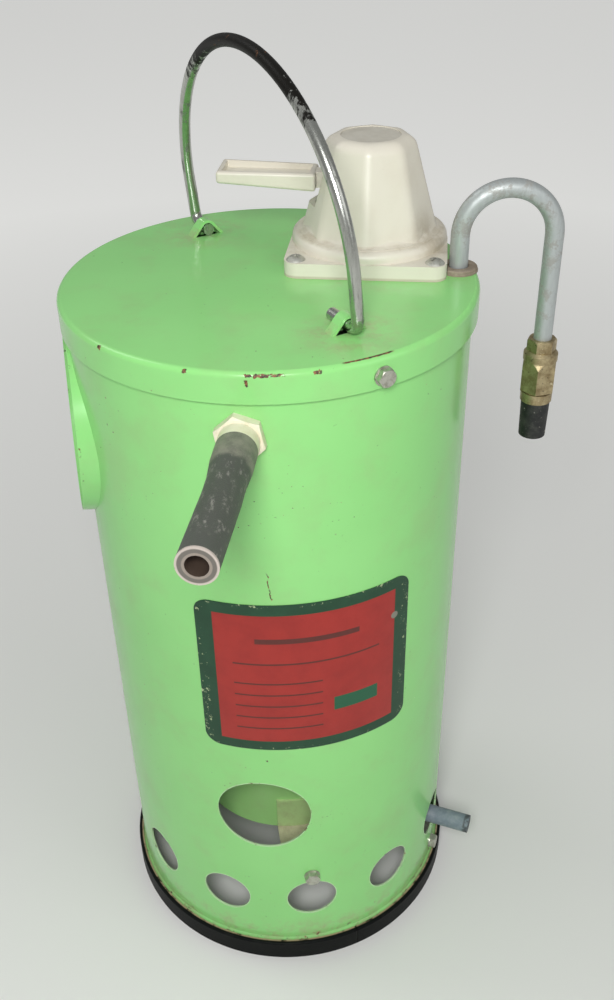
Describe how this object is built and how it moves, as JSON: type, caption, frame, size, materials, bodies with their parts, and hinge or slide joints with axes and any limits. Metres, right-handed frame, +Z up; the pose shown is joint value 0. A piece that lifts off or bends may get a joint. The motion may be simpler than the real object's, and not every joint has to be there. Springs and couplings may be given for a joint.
{
  "type": "portable propane water heater",
  "caption": "Upright green enamelled heater drum with vented base, side flue outlet, wire bail, hand lever pump, gooseneck hot water spout and cold water hose stub.",
  "frame": {"origin": "centre of the base ring's underside, on the drum's axis at floor level", "axes": "+Z up along the drum's axis; -Y towards the user, the side with the water inlet, the label and the lighting hole; +X towards the spout, with the flue outlet on -X"},
  "size_m": [0.2707, 0.3032, 0.5279],
  "materials": {
    "green_enamel": "gloss enamel, chipped at the edges",
    "zinc_steel": "zinc plated, aged",
    "bail_steel": "worn plating with rusty patches",
    "pump_plastic": "satin, grimy in its corners",
    "cap_plastic": "matt",
    "inner_plastic": "matt",
    "pin_steel": "plain",
    "black_rubber": "matt, dusty",
    "grey_rubber": "matt",
    "inlet_rubber": "worn cover",
    "grommet_rubber": "matt, worn",
    "spout_aluminium": "dull",
    "brass": "tarnished",
    "copper": "heat stained copper",
    "white_nylon": "satin",
    "burner_iron": "cast",
    "burner_tube_steel": "heat stained",
    "label_film": "satin printed panel"
  },
  "bodies": {
    "heater": {"outer_shell": "green_enamel", "lid": "green_enamel", "flue_collar": "green_enamel", "inner_liner": "green_enamel", "flue_duct": "green_enamel", "liner_brackets": "zinc_steel", "hex_screws": "zinc_steel", "burner_bar": "zinc_steel", "hose_clamps": "zinc_steel", "pump_base": "pump_plastic", "pump_tower": "pump_plastic", "pump_cap": "cap_plastic", "pump_cylinder": "inner_plastic", "rod_guide": "inner_plastic", "lock_ring": "inner_plastic", "pivot_pin": "pin_steel", "pump_screws": "pin_steel", "base_ring": "black_rubber", "spout_hose": "black_rubber", "outlet_sleeve": "black_rubber", "gas_hose": "grey_rubber", "inner_hose": "grey_rubber", "inlet_hose": "inlet_rubber", "spout_grommet": "grommet_rubber", "spout_washer": "grommet_rubber", "spout_tube": "spout_aluminium", "spout_nut": "brass", "spout_coupling": "brass", "coil_union": "brass", "gas_jet": "brass", "inlet_nut": "brass", "heating_coil": "copper", "inlet_fitting": "white_nylon", "burner_head": "burner_iron", "mixer_tube": "burner_tube_steel", "label_plate": "label_film"},
    "bail": {"bail_handle": "bail_steel"},
    "lever": {"pump_lever": "pump_plastic"},
    "piston": {"piston_rod": "pin_steel", "rod_pin": "pin_steel", "piston": "inner_plastic", "piston_seal": "black_rubber"}
  },
  "joints": [
    {"name": "bail_swing", "type": "hinge", "parent": "heater", "child": "bail", "pos_m": [0, 0, 0.41735], "axis": [0.4602, -0.8878, 0], "range_deg": [-70, 80]},
    {"name": "lever_pivot", "type": "hinge", "parent": "heater", "child": "lever", "pos_m": [0.03641, 0.03366, 0.452], "axis": [0.1564, 0.9877, 0], "range_deg": [-22, 25]},
    {"name": "piston_slide", "type": "slide", "parent": "heater", "child": "piston", "axis": [0, 0, 1], "range_m": [-0.008, 0.007]}
  ],
  "couplings": [
    {"joint": "piston_slide", "follows": "lever_pivot", "m_per_rad": -0.017}
  ]
}
